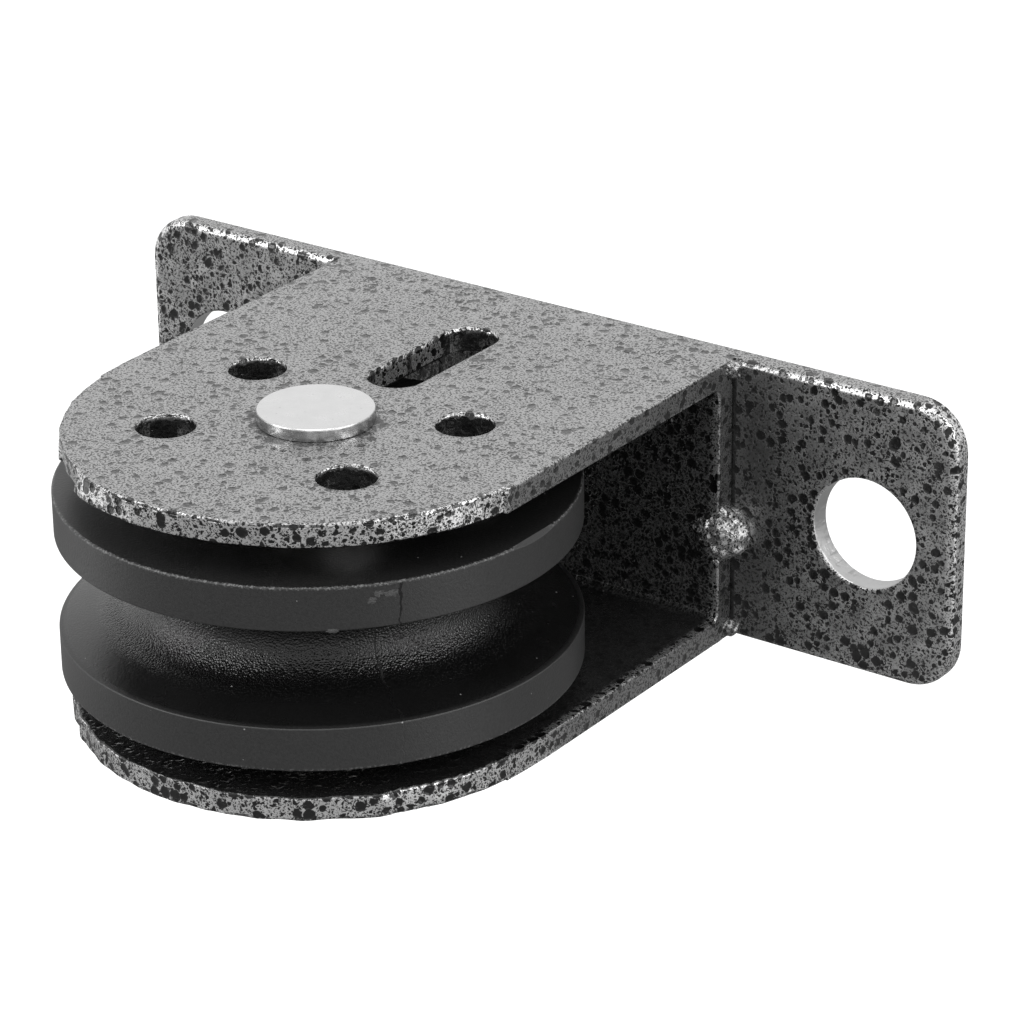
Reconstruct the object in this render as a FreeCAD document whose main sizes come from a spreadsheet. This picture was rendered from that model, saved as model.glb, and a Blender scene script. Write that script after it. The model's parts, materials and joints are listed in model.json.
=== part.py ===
import FreeCAD, Part
import math
import os
import Sketcher

# Shoulder pulley: a wall-mounted block with one grooved wheel on a riveted axle.
# The wall lies in the XZ plane, with the block in front of it towards -Y. X runs along the wall plate,
# Z runs up along the axle, and the origin is the centre of the plate's back face.

SIZES = (
    # wall plate
    ("plate_length", 137.6),
    ("plate_thickness", 3.2),
    ("plate_corner_radius", 6.9),
    ("plate_front_round", 1.3),
    ("plate_back_round", 0.4),
    ("bolt_spacing", 109.8),
    ("bolt_hole_dia", 15.8),
    # bent bracket
    ("bracket_height", 41.6),
    ("bracket_width", 68.0),
    ("sheet_thickness", 3.5),
    ("bend_inside_radius", 1.2),
    ("cheek_edge_round", 0.45),
    ("nose_radius", 33.5),
    ("nose_step_back", 4.4),
    ("axle_from_plate", 48.2),
    # holes in both cheeks
    ("pin_hole_dia", 8.1),
    ("pin_hole_circle_radius", 19.65),
    ("rear_pin_hole_angle", 28.3),
    ("front_pin_hole_angle", 40.9),
    ("slot_width", 8.2),
    ("slot_length", 24.7),
    ("slot_from_axle", 25.9),
    # welds
    ("seam_lap_angle", 68.0),
    ("seam_foot_angle", 12.0),
    ("seam_top_angle", 74.0),
    ("tack_across", 6.6),
    ("tack_deep", 6.4),
    ("tack_high", 7.2),
    ("tack_below_middle", 4.5),
    ("tack_inboard", 0.3),
    ("tack_behind_web_face", 1.9),
    ("corner_tack_dia", 3.4),
    ("corner_tack_inboard", 0.2),
    # wheel
    ("sheave_dia", 70.0),
    ("sheave_width", 25.7),
    ("groove_opening", 13.6),
    ("groove_round_radius", 5.15),
    ("groove_flank_slope", 13.3),
    ("rim_corner_chamfer", 0.35),
    ("rim_groove_chamfer", 0.2),
    ("bearing_recess", 0.45),
    ("bearing_shoulder_radius", 11.4),
    # axle and spacers
    ("axle_dia", 10.0),
    ("axle_running_gap", 0.02),
    ("axle_head_dia", 15.7),
    ("axle_head_height", 1.8),
    ("axle_head_chamfer", 0.3),
    ("formed_head_dia", 14.4),
    ("formed_head_height", 2.6),
    ("spacer_outside_dia", 14.0),
    # ball bearing, 10 x 26 x 8
    ("bearing_outside_dia", 26.0),
    ("bearing_width", 8.0),
    ("ball_dia", 4.762),
    ("ball_pitch_dia", 18.0),
    ("ball_count", 7.0),
    ("ball_gap", 0.03),
    ("race_depth", 1.15),
    ("ring_corner_chamfer", 0.35),
    ("shield_thickness", 0.35),
    ("shield_recess", 0.4),
    ("shield_seat_depth", 0.45),
    ("shield_running_gap", 0.3),
    ("cage_wall", 1.1),
    ("cage_height", 6.0),
    ("cage_pocket_gap", 0.12),
)


class Size:
    """A number together with the sheet expression that gives it."""

    def __init__(self, value, text):
        self.value = value
        self.text = text

    def joined(self, sign, other, value, swapped=False):
        theirs = other.text if isinstance(other, Size) else repr(float(other))
        first, second = (theirs, self.text) if swapped else (self.text, theirs)
        return Size(value, "(%s %s %s)" % (first, sign, second))

    def __add__(self, other):
        return self.joined("+", other, self.value + number(other))

    def __radd__(self, other):
        return self.joined("+", other, number(other) + self.value, True)

    def __sub__(self, other):
        return self.joined("-", other, self.value - number(other))

    def __rsub__(self, other):
        return self.joined("-", other, number(other) - self.value, True)

    def __mul__(self, other):
        return self.joined("*", other, self.value * number(other))

    def __rmul__(self, other):
        return self.joined("*", other, number(other) * self.value, True)

    def __truediv__(self, other):
        return self.joined("/", other, self.value / number(other))

    def __neg__(self):
        return Size(-self.value, "(0 - %s)" % self.text)


def number(size):
    return size.value if isinstance(size, Size) else float(size)


def words(size):
    return size.text if isinstance(size, Size) else repr(float(size))


def sine(angle):
    return Size(math.sin(math.radians(angle.value)), "sin(%s)" % angle.text)


def cosine(angle):
    return Size(math.cos(math.radians(angle.value)), "cos(%s)" % angle.text)


def root(size):
    return Size(math.sqrt(size.value), "sqrt(%s)" % size.text)


doc = FreeCAD.newDocument("shoulder_pulley")
sheet = doc.addObject("Spreadsheet::Sheet", "sizes")
for line_number, (alias, value) in enumerate(SIZES, start=1):
    sheet.set("A%d" % line_number, alias)
    sheet.set("B%d" % line_number, str(value))
    sheet.setAlias("B%d" % line_number, alias)
doc.recompute()

size = {}
for alias, value in SIZES:
    size[alias] = Size(value, "sizes." + alias)

# Worked-out places, in the frame of the whole block.
zero = Size(0.0, "0")
plate_front = -size["plate_thickness"]
web_front = plate_front - size["sheet_thickness"]
axle_place = plate_front - size["axle_from_plate"]
cheek_outside = size["bracket_height"] / 2
cheek_inside = cheek_outside - size["sheet_thickness"]
cheek_half_width = size["bracket_width"] / 2
bend_outside_radius = size["bend_inside_radius"] + size["sheet_thickness"]
bearing_face = size["sheave_width"] / 2 - size["bearing_recess"]
bearing_middle = bearing_face - size["bearing_width"] / 2
axle_radius = size["axle_dia"] / 2
sub_parts = []


# ---- helpers ---------------------------------------------------------------------------------

def bind(thing, path, value):
    thing.setExpression(path, words(value))


def new_body(label, across=zero, along=zero, up=zero):
    """A PartDesign body, placed by three sizes, that becomes one sub-part."""
    body = doc.addObject("PartDesign::Body", label)
    body.Label = label
    bind(body, "Placement.Base.x", across)
    bind(body, "Placement.Base.y", along)
    bind(body, "Placement.Base.z", up)
    sub_parts.append(body)
    return body


def new_sketch(body, name, role):
    """A sketch on one of the body's own origin planes."""
    sketch = body.newObject("Sketcher::SketchObject", name)
    planes = [feature for feature in body.Origin.OriginFeatures if feature.Role == role]
    sketch.AttachmentSupport = [(planes[0], "")]
    sketch.MapMode = "FlatFace"
    return sketch


def hold(sketch, kind, references, value, name):
    """A driving constraint whose value is read from the sheet."""
    sketch.addConstraint(Sketcher.Constraint(kind, *references, number(value)))
    sketch.renameConstraint(sketch.ConstraintCount - 1, name)
    bind(sketch, "Constraints." + name, value)


def hold_point(sketch, geometry, point, place, name, free=""):
    """Holds a point by its distances from the sketch's origin, except along a free direction."""
    if "x" not in free:
        hold(sketch, "DistanceX", (-1, 1, geometry, point), place[0], name + "_x")
    if "y" not in free:
        hold(sketch, "DistanceY", (-1, 1, geometry, point), place[1], name + "_y")


def arc_between(centre, start, end, clockwise):
    middle = FreeCAD.Vector(number(centre[0]), number(centre[1]), 0)
    first = FreeCAD.Vector(number(start[0]), number(start[1]), 0) - middle
    last = FreeCAD.Vector(number(end[0]), number(end[1]), 0) - middle
    circle = Part.Circle(middle, FreeCAD.Vector(0, 0, 1), first.Length)
    angles = [math.atan2(first.y, first.x), math.atan2(last.y, last.x)]
    if clockwise:
        angles.reverse()
    return Part.ArcOfCircle(circle, angles[0], angles[1])


def outline(sketch, points, arcs=None):
    """A closed outline through points. arcs maps the index of a side to its centre, its sense of
    turning and the direction, x or y, in which the side's end is left to the arc."""
    arcs = arcs or {}
    ends = {}
    count = len(points)
    for index, point in enumerate(points):
        following = points[(index + 1) % count]
        if index in arcs:
            centre, clockwise, free = arcs[index]
            sketch.addGeometry(arc_between(centre, point, following, clockwise), False)
            ends[index] = (2, 1) if clockwise else (1, 2)
        else:
            start = FreeCAD.Vector(number(point[0]), number(point[1]), 0)
            finish = FreeCAD.Vector(number(following[0]), number(following[1]), 0)
            sketch.addGeometry(Part.LineSegment(start, finish), False)
            ends[index] = (1, 2)
    base = sketch.GeometryCount - count
    for index, point in enumerate(points):
        before = (index - 1) % count
        here = base + index
        sketch.addConstraint(
            Sketcher.Constraint("Coincident", base + before, ends[before][1], here, ends[index][0]))
        free = arcs[before][2] if before in arcs else ""
        hold_point(sketch, here, ends[index][0], point, "p%d" % here, free)
        if index in arcs:
            hold_point(sketch, here, 3, arcs[index][0], "c%d" % here)


def circle(sketch, centre, radius, name):
    middle = FreeCAD.Vector(number(centre[0]), number(centre[1]), 0)
    geometry = sketch.addGeometry(Part.Circle(middle, FreeCAD.Vector(0, 0, 1), number(radius)), False)
    hold_point(sketch, geometry, 3, centre, name)
    hold(sketch, "Radius", (geometry,), radius, name + "_radius")


def rounded_rectangle(sketch, half_across, half_up, radius):
    """A centred rectangle with four quarter-round corners."""
    inner_across = half_across - radius
    inner_up = half_up - radius
    points = [(-inner_across, -half_up), (inner_across, -half_up),
              (half_across, -inner_up), (half_across, inner_up),
              (inner_across, half_up), (-inner_across, half_up),
              (-half_across, inner_up), (-half_across, -inner_up)]
    arcs = {1: ((inner_across, -inner_up), False, "x"),
            3: ((inner_across, inner_up), False, "y"),
            5: ((-inner_across, inner_up), False, "x"),
            7: ((-inner_across, -inner_up), False, "y")}
    outline(sketch, points, arcs)


def padded(body, name, sketch, length, centred=False):
    pad = body.newObject("PartDesign::Pad", name)
    pad.Profile = sketch
    bind(pad, "Length", length)
    pad.Midplane = centred
    body.Tip = pad
    doc.recompute()
    return pad


def pocketed(body, name, sketch):
    """A cut through everything, both ways from the sketch's plane."""
    before = body.Shape.Volume
    pocket = body.newObject("PartDesign::Pocket", name)
    pocket.Profile = sketch
    pocket.Type = "ThroughAll"
    pocket.Midplane = True
    body.Tip = pocket
    doc.recompute()
    if body.Shape.Volume >= before:
        raise RuntimeError(name + " cut nothing")
    return pocket


def turned(body, name, sketch):
    """A full turn of the sketch about its upright axis."""
    revolution = body.newObject("PartDesign::Revolution", name)
    revolution.Profile = sketch
    revolution.ReferenceAxis = (sketch, ["V_Axis"])
    revolution.Angle = 360
    body.Tip = revolution
    doc.recompute()
    return revolution


def rounded(body, name, wanted, radius):
    """Rounds every edge of the body's present shape that the test accepts."""
    base = body.Tip
    names = []
    for index, edge in enumerate(base.Shape.Edges, start=1):
        if wanted(edge):
            names.append("Edge%d" % index)
    fillet = body.newObject("PartDesign::Fillet", name)
    fillet.Base = (base, names)
    bind(fillet, "Radius", radius)
    body.Tip = fillet
    doc.recompute()
    return fillet


def turned_ring(label, up, points, arcs=None):
    """A turned sub-part on the axle's line: points are (radius, height) about its own middle."""
    body = new_body(label, zero, axle_place, up)
    section = new_sketch(body, label + "_section", "XZ_Plane")
    outline(section, points, arcs)
    turned(body, label + "_turned", section)
    return body


# ---- wall plate ------------------------------------------------------------------------------

def make_mounting_plate():
    body = new_body("mounting_plate")
    face = new_sketch(body, "plate_face", "XZ_Plane")
    rounded_rectangle(face, size["plate_length"] / 2, cheek_outside, size["plate_corner_radius"])
    for side, name in ((-1, "left_hole"), (1, "right_hole")):
        circle(face, (side * size["bolt_spacing"] / 2, zero), size["bolt_hole_dia"] / 2, name)
    padded(body, "plate_sheet", face, size["plate_thickness"])
    rounded(body, "front_edge_round", lies_along("y", plate_front, 20.0), size["plate_front_round"])
    rounded(body, "back_edge_round", lies_along("y", zero, 20.0), size["plate_back_round"])


def lies_along(direction, place, furthest):
    """A test for edges in one plane, apart from those of holes, which stay closed circles."""
    def test(edge):
        low = getattr(edge.BoundBox, direction.upper() + "Min")
        high = getattr(edge.BoundBox, direction.upper() + "Max")
        flat = abs(low - number(place)) < 0.01 and abs(high - number(place)) < 0.01
        return flat and not (edge.isClosed() and edge.BoundBox.DiagonalLength < furthest * 2)
    return test


# ---- bent bracket ----------------------------------------------------------------------------

def make_pulley_bracket():
    """A U of bent sheet: the web lies on the plate, and the cheeks reach past the axle."""
    body = new_body("pulley_bracket")
    reach = axle_place - size["nose_radius"] - 5
    outside = bend_outside_radius
    inside = size["bend_inside_radius"]
    outside_start = plate_front - outside
    inside_start = web_front - inside
    section = new_sketch(body, "strip_section", "YZ_Plane")
    points = [(reach, cheek_outside), (reach, cheek_inside), (inside_start, cheek_inside),
              (web_front, cheek_inside - inside), (web_front, inside - cheek_inside),
              (inside_start, -cheek_inside), (reach, -cheek_inside), (reach, -cheek_outside),
              (outside_start, -cheek_outside), (plate_front, outside - cheek_outside),
              (plate_front, cheek_outside - outside), (outside_start, cheek_outside)]
    arcs = {2: ((inside_start, cheek_inside - inside), True, "x"),
            4: ((inside_start, inside - cheek_inside), True, "y"),
            8: ((outside_start, outside - cheek_outside), False, "x"),
            10: ((outside_start, cheek_outside - outside), False, "y")}
    outline(section, points, arcs)
    padded(body, "bent_strip", section, size["bracket_width"], centred=True)

    nose = new_sketch(body, "nose_trim", "XY_Plane")
    nose_radius = size["nose_radius"]
    step = axle_place - size["nose_step_back"]
    half_chord = root(nose_radius * nose_radius - size["nose_step_back"] * size["nose_step_back"])
    past_side = cheek_half_width + 5
    past_nose = reach - 5
    points = [(-past_side, step), (-half_chord, step), (half_chord, step), (past_side, step),
              (past_side, past_nose), (-past_side, past_nose)]
    outline(nose, points, {1: ((zero, axle_place), False, "x")})
    pocketed(body, "round_nose", nose)

    holes = new_sketch(body, "cheek_holes", "XY_Plane")
    circle(holes, (zero, axle_place), axle_radius + size["axle_running_gap"], "axle_hole")
    ring = size["pin_hole_circle_radius"]
    for angle, way, name in ((size["rear_pin_hole_angle"], 1, "rear"),
                             (size["front_pin_hole_angle"], -1, "front")):
        for side, side_name in ((-1, "left"), (1, "right")):
            centre = (side * ring * cosine(angle), axle_place + way * ring * sine(angle))
            circle(holes, centre, size["pin_hole_dia"] / 2, name + "_" + side_name)
    half_slot = size["slot_width"] / 2
    slot_middle = axle_place + size["slot_from_axle"]
    straight = size["slot_length"] / 2 - half_slot
    points = [(half_slot, slot_middle - straight), (half_slot, slot_middle + straight),
              (-half_slot, slot_middle + straight), (-half_slot, slot_middle - straight)]
    arcs = {1: ((zero, slot_middle + straight), False, "x"),
            3: ((zero, slot_middle - straight), False, "x")}
    outline(holes, points, arcs)
    pocketed(body, "punched_holes", holes)
    rounded(body, "cheek_rims", is_cheek_rim, size["cheek_edge_round"])


def is_cheek_rim(edge):
    """Accepts the outer rims of both cheeks and of the web, not the holes' rims."""
    box = edge.BoundBox
    heights = (number(cheek_outside), number(cheek_inside))
    level = box.ZLength < 0.01 and min(abs(abs(box.ZMin) - height) for height in heights) < 0.01
    on_side = box.XLength < 0.01 and abs(abs(box.XMin) - number(cheek_half_width)) < 0.01
    middle = edge.valueAt((edge.FirstParameter + edge.LastParameter) / 2)
    from_axle = math.hypot(middle.x, middle.y - number(axle_place))
    on_nose = abs(from_axle - size["nose_radius"].value) < 0.01
    return (level and on_nose) or (on_side and (level or box.ZLength > 1 or box.YLength > 1))


# ---- welds -----------------------------------------------------------------------------------

def make_seam_weld(label, side):
    """The bead that fills the groove between a bend and the plate and laps the plate's rounded edge."""
    body = new_body(label)
    section = new_sketch(body, label + "_section", "YZ_Plane")
    radius = bend_outside_radius
    centre_along = plate_front - radius
    centre_up = cheek_outside - radius
    foot = size["seam_foot_angle"]
    top = size["seam_top_angle"]
    lap = size["seam_lap_angle"]
    edge = size["plate_front_round"]
    edge_along = plate_front + edge
    edge_up = side * (cheek_outside - edge)
    foot_point = (centre_along + radius * cosine(foot), side * (centre_up + radius * sine(foot)))
    top_point = (centre_along + radius * cosine(top), side * (centre_up + radius * sine(top)))
    lap_point = (edge_along - edge * cosine(lap), side * (cheek_outside - edge + edge * sine(lap)))
    points = [(plate_front, foot_point[1]), (plate_front, edge_up), lap_point, top_point, foot_point]
    arcs = {1: ((edge_along, edge_up), side > 0, "y"),
            3: ((centre_along, side * centre_up), side > 0, "x")}
    outline(section, points, arcs)
    padded(body, label + "_bead", section, size["bracket_width"] - 0.4, centred=True)


def make_tacks(label, places, halves):
    """Round lumps of weld at the given places, trimmed to sit on the plate and around the web."""
    tacks = []
    for index, place in enumerate(places):
        lump = doc.addObject("Part::Ellipsoid", "%s_lump_%d" % (label, index))
        for name, half in zip(("Radius2", "Radius3", "Radius1"), halves):
            bind(lump, name, half)
        for axis, distance in zip("xyz", place):
            bind(lump, "Placement.Base." + axis, distance)
        off_plate = doc.addObject("Part::Cut", "%s_off_plate_%d" % (label, index))
        off_plate.Base = lump
        off_plate.Tool = plate_block
        tack = doc.addObject("Part::Cut", "%s_tack_%d" % (label, index))
        tack.Base = off_plate
        tack.Tool = web_block
        tacks.append(tack)
    group = doc.addObject("Part::Compound", label)
    group.Links = tacks
    group.Label = label
    sub_parts.append(group)


def make_block(name, across, along, up, corner):
    block = doc.addObject("Part::Box", name)
    bind(block, "Length", across)
    bind(block, "Width", along)
    bind(block, "Height", up)
    for axis, distance in zip("xyz", corner):
        bind(block, "Placement.Base." + axis, distance)
    return block


# ---- wheel -----------------------------------------------------------------------------------

def make_sheave():
    """The moulded wheel: two rims, a groove with sloping flanks and a round floor, and two bearing seats."""
    rim = size["sheave_dia"] / 2
    half = size["sheave_width"] / 2
    mouth = size["groove_opening"] / 2
    floor = size["groove_round_radius"]
    slope = size["groove_flank_slope"]
    corner = size["rim_corner_chamfer"]
    lip = size["rim_groove_chamfer"]
    seat = size["bearing_outside_dia"] / 2
    shoulder_up = bearing_face - size["bearing_width"]
    shoulder = size["bearing_shoulder_radius"]
    flank_up = floor * cosine(slope)
    flank_in = rim - (mouth - flank_up) * cosine(slope) / sine(slope)
    centre = flank_in + floor * sine(slope)
    points = [(rim, half - corner), (rim - corner, half), (seat + corner, half), (seat, half - corner),
              (seat, shoulder_up), (shoulder, shoulder_up), (shoulder, -shoulder_up),
              (seat, -shoulder_up), (seat, corner - half), (seat + corner, -half),
              (rim - corner, -half), (rim, corner - half), (rim, -mouth - lip), (rim - lip, -mouth),
              (flank_in, -flank_up), (flank_in, flank_up), (rim - lip, mouth), (rim, mouth + lip)]
    turned_ring("sheave", zero, points, {14: ((centre, zero), True, "y")})


# ---- axle and spacers ------------------------------------------------------------------------

def make_axle():
    """A plain pin: a flat round head on the upper cheek, the other end formed over under the lower one."""
    radius = axle_radius
    head = size["axle_head_dia"] / 2
    head_top = cheek_outside + size["axle_head_height"]
    chamfer = size["axle_head_chamfer"]
    formed = size["formed_head_dia"] / 2
    formed_bottom = -cheek_outside - size["formed_head_height"]
    formed_side = -cheek_outside - size["formed_head_height"] * 0.35
    points = [(zero, head_top), (zero, formed_bottom), (formed * 0.55, formed_bottom),
              (formed * 0.86, formed_bottom + size["formed_head_height"] * 0.25),
              (formed, formed_side), (formed, -cheek_outside), (radius, -cheek_outside),
              (radius, cheek_outside), (head, cheek_outside), (head, head_top - chamfer),
              (head - chamfer, head_top)]
    turned_ring("axle_rivet", zero, points)


def make_tube(label, up, inside, outside, half):
    points = [(inside, half), (inside, -half), (outside, -half), (outside, half)]
    turned_ring(label, up, points)


def make_spacers():
    bore = axle_radius + size["axle_running_gap"]
    outside = size["spacer_outside_dia"] / 2
    bush_half = (cheek_inside - bearing_face) / 2
    bush_up = cheek_inside - bush_half
    make_tube("upper_spacer_bush", bush_up, bore, outside, bush_half)
    make_tube("lower_spacer_bush", -bush_up, bore, outside, bush_half)
    make_tube("bearing_spacer_tube", zero, bore, outside, bearing_face - size["bearing_width"])


# ---- ball bearing ----------------------------------------------------------------------------

def make_bearing(name, up):
    """Rings, balls, cage and two shields about a middle height. The outer ring turns with the wheel."""
    half = size["bearing_width"] / 2
    chamfer = size["ring_corner_chamfer"]
    pitch = size["ball_pitch_dia"] / 2
    race = size["ball_dia"] / 2 + size["ball_gap"]
    land_in = pitch - race + size["race_depth"]
    land_out = pitch + race - size["race_depth"]
    race_half = root(race * race - (pitch - land_in) * (pitch - land_in))
    bore = axle_radius + size["axle_running_gap"]
    outside = size["bearing_outside_dia"] / 2
    seat_depth = size["shield_recess"] + size["shield_thickness"]
    seat = land_out + size["shield_seat_depth"]

    points = [(bore, half - chamfer), (bore, chamfer - half), (bore + chamfer, -half),
              (land_in, -half), (land_in, -race_half), (land_in, race_half), (land_in, half),
              (bore + chamfer, half)]
    turned_ring(name + "_bearing_inner_ring", up, points, {4: ((pitch, zero), True, "y")})

    points = [(outside, half - chamfer), (outside - chamfer, half), (seat, half),
              (seat, half - seat_depth), (land_out, half - seat_depth), (land_out, race_half),
              (land_out, -race_half), (land_out, seat_depth - half), (seat, seat_depth - half),
              (seat, -half), (outside - chamfer, -half), (outside, chamfer - half)]
    turned_ring(name + "_bearing_outer_ring", up, points, {5: ((pitch, zero), True, "y")})

    shield_in = land_in + size["shield_running_gap"]
    shield_half = size["shield_thickness"] / 2
    shield_up = half - seat_depth + shield_half
    away = 1 if up.value > 0 else -1
    make_tube(name + "_bearing_outside_shield", up + away * shield_up, shield_in, seat, shield_half)
    make_tube(name + "_bearing_inside_shield", up - away * shield_up, shield_in, seat, shield_half)
    make_balls(name, up, pitch)
    make_cage(name, up, pitch)


def make_balls(name, up, pitch):
    """Seven balls, evenly spaced on the pitch circle, as separate solids of one sub-part."""
    balls = []
    count = int(size["ball_count"].value)
    for index in range(count):
        ball = doc.addObject("Part::Sphere", "%s_ball_%d" % (name, index))
        angle = Size(360.0 * index / count, "(%d * 360 / sizes.ball_count)" % index)
        bind(ball, "Radius", size["ball_dia"] / 2)
        bind(ball, "Placement.Base.x", pitch * cosine(angle))
        bind(ball, "Placement.Base.y", axle_place + pitch * sine(angle))
        bind(ball, "Placement.Base.z", up)
        balls.append(ball)
    group = doc.addObject("Part::Compound", name + "_bearing_balls")
    group.Links = balls
    group.Label = name + "_bearing_balls"
    sub_parts.append(group)


def make_cage(name, up, pitch):
    """A band on the pitch circle with a round pocket for each ball."""
    label = name + "_bearing_cage"
    half_wall = size["cage_wall"] / 2
    half_height = size["cage_height"] / 2
    points = [(pitch - half_wall, half_height), (pitch - half_wall, -half_height),
              (pitch + half_wall, -half_height), (pitch + half_wall, half_height)]
    body = turned_ring(label, up, points)
    pocket_sketch = new_sketch(body, label + "_pocket_circle", "YZ_Plane")
    circle(pocket_sketch, (zero, zero), size["ball_dia"] / 2 + size["cage_pocket_gap"], "pocket")
    before = body.Shape.Volume
    pocket = body.newObject("PartDesign::Pocket", label + "_pocket")
    pocket.Profile = pocket_sketch
    pocket.Type = "ThroughAll"
    pocket.Reversed = True
    body.Tip = pocket
    doc.recompute()
    pattern = body.newObject("PartDesign::PolarPattern", label + "_pockets")
    pattern.Originals = [pocket]
    axes = [feature for feature in body.Origin.OriginFeatures if feature.Role == "Z_Axis"]
    pattern.Axis = (axes[0], [""])
    pattern.Angle = 360
    bind(pattern, "Occurrences", size["ball_count"])
    body.Tip = pattern
    doc.recompute()
    if body.Shape.Volume > before * 0.9:
        raise RuntimeError(label + " pockets are missing")


# ---- the whole block -------------------------------------------------------------------------

make_mounting_plate()
make_pulley_bracket()
make_seam_weld("seam_weld_upper", 1)
make_seam_weld("seam_weld_lower", -1)
plate_block = make_block(
    "plate_room", size["plate_length"], size["plate_thickness"], size["bracket_height"],
    (-size["plate_length"] / 2, plate_front, -cheek_outside))
web_block = make_block(
    "web_room", size["bracket_width"], size["sheet_thickness"], size["bracket_height"],
    (-cheek_half_width, web_front, -cheek_outside))
tack_halves = (size["tack_across"] / 2, size["tack_deep"] / 2, size["tack_high"] / 2)
tack_across = cheek_half_width - size["tack_inboard"]
tack_along = web_front + size["tack_behind_web_face"]
side_places = [(side * tack_across, tack_along, -size["tack_below_middle"]) for side in (-1, 1)]
make_tacks("side_tack_welds", side_places, tack_halves)
corner_half = size["corner_tack_dia"] / 2
corner_across = cheek_half_width - size["corner_tack_inboard"]
corner_along = plate_front - size["corner_tack_inboard"]
corner_up = cheek_outside - corner_half
corner_places = [(across * corner_across, corner_along, up * corner_up)
                 for across in (-1, 1) for up in (-1, 1)]
make_tacks("corner_tack_welds", corner_places, (corner_half, corner_half, corner_half))
make_sheave()
make_axle()
make_spacers()
make_bearing("upper", bearing_middle)
make_bearing("lower", -bearing_middle)

doc.recompute()
for thing in doc.Objects:
    if "Invalid" in thing.State or "Error" in thing.State:
        raise RuntimeError(thing.Name + " failed: " + str(thing.State))
os.makedirs("parts", exist_ok=True)
for sub_part in sub_parts:
    shape = sub_part.Shape
    if shape.isNull() or not shape.isValid():
        raise RuntimeError(sub_part.Label + " has no valid shape")
    shape.exportStep("parts/" + sub_part.Label + ".step")
    print(sub_part.Label, len(shape.Solids), round(shape.Volume, 1))
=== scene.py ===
import json
import math

import bmesh
import bpy
from mathutils import Matrix, Vector, noise


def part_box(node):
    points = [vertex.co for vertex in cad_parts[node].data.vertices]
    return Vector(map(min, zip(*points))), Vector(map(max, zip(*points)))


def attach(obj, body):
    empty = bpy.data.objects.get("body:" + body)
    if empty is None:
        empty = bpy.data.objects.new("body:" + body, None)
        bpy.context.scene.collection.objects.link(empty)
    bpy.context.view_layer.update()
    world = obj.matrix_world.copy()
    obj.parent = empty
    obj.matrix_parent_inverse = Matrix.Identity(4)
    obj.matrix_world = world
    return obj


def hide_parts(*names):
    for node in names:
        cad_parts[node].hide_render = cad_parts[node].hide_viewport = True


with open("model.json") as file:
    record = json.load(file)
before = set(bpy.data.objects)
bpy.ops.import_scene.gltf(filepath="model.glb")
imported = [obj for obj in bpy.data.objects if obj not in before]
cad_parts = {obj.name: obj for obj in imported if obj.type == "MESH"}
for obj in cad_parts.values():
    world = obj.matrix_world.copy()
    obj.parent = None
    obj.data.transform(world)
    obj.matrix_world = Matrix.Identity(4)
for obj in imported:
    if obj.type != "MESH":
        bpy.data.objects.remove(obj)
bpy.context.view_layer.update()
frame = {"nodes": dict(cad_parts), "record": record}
nodes = frame["nodes"]
MM = 0.001

# Places and sizes that the frame gives, in metres.
wheel_low, wheel_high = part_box("sheave")
rivet_low, rivet_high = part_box("axle_rivet")
bracket_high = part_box("pulley_bracket")[1]
plate_low, plate_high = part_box("mounting_plate")
AXLE = Vector(((wheel_low.x + wheel_high.x) / 2, (wheel_low.y + wheel_high.y) / 2, 0))
RIM_RADIUS = (wheel_high.x - wheel_low.x) / 2
WHEEL_HALF = wheel_high.z
HEAD_RADIUS = (rivet_high.x - rivet_low.x) / 2
CHEEK_TOP = bracket_high.z
CHEEK_HALF_WIDTH = bracket_high.x
PLATE_FRONT = plate_low.y

# Sizes that no box gives, in metres, and the turn of the mould's parting plane about the axle.
SHEET = 3.5 * MM
WEB_FRONT = PLATE_FRONT - SHEET
PLATE_CORNER = 6.9 * MM
BOLT_REACH = 54.9 * MM
BOLT_RADIUS = 7.9 * MM
TACK = Vector((34.2, -5.0, -4.5)) * MM
PARTING = math.radians(-35.3)

# The small holes of a cheek: how far aside, how far behind the axle, and the radius, in millimetres.
# The last three stand for the slot.
CHEEK_HOLES = ((17.3, 9.32, 4.05), (14.85, -12.87, 4.05),
               (0, 17.65, 4.1), (0, 25.9, 4.1), (0, 34.15, 4.1))


# ---- camera, floor and lights -----------------------------------------------------------------

def make_camera():
    """A long lens, in front of the object to its right and above it."""
    azimuth, elevation, roll = (math.radians(angle) for angle in (35.65, 24.24, -0.686))
    aim = AXLE + Vector((19.1, 17.05, 5.9)) * MM
    back = Vector((math.sin(azimuth) * math.cos(elevation),
                   -math.cos(azimuth) * math.cos(elevation), math.sin(elevation)))
    camera = bpy.data.objects.new("camera", bpy.data.cameras.new("camera"))
    bpy.context.scene.collection.objects.link(camera)
    camera.data.lens = 145.44
    camera.data.clip_start = 0.01
    distance = 0.54977
    turn = (-back).to_track_quat("-Z", "Y").to_matrix() @ Matrix.Rotation(roll, 3, "Z")
    camera.matrix_world = Matrix.Translation(aim + back * distance) @ turn.to_4x4()
    bpy.context.scene.camera = camera


def aimed_from(azimuth, elevation, distance):
    """A place at that distance from the axle, with angles in degrees as for the camera."""
    turn, rise = math.radians(azimuth), math.radians(elevation)
    return AXLE + distance * Vector((math.sin(turn) * math.cos(rise), -math.cos(turn) * math.cos(rise),
                                     math.sin(rise)))


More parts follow.
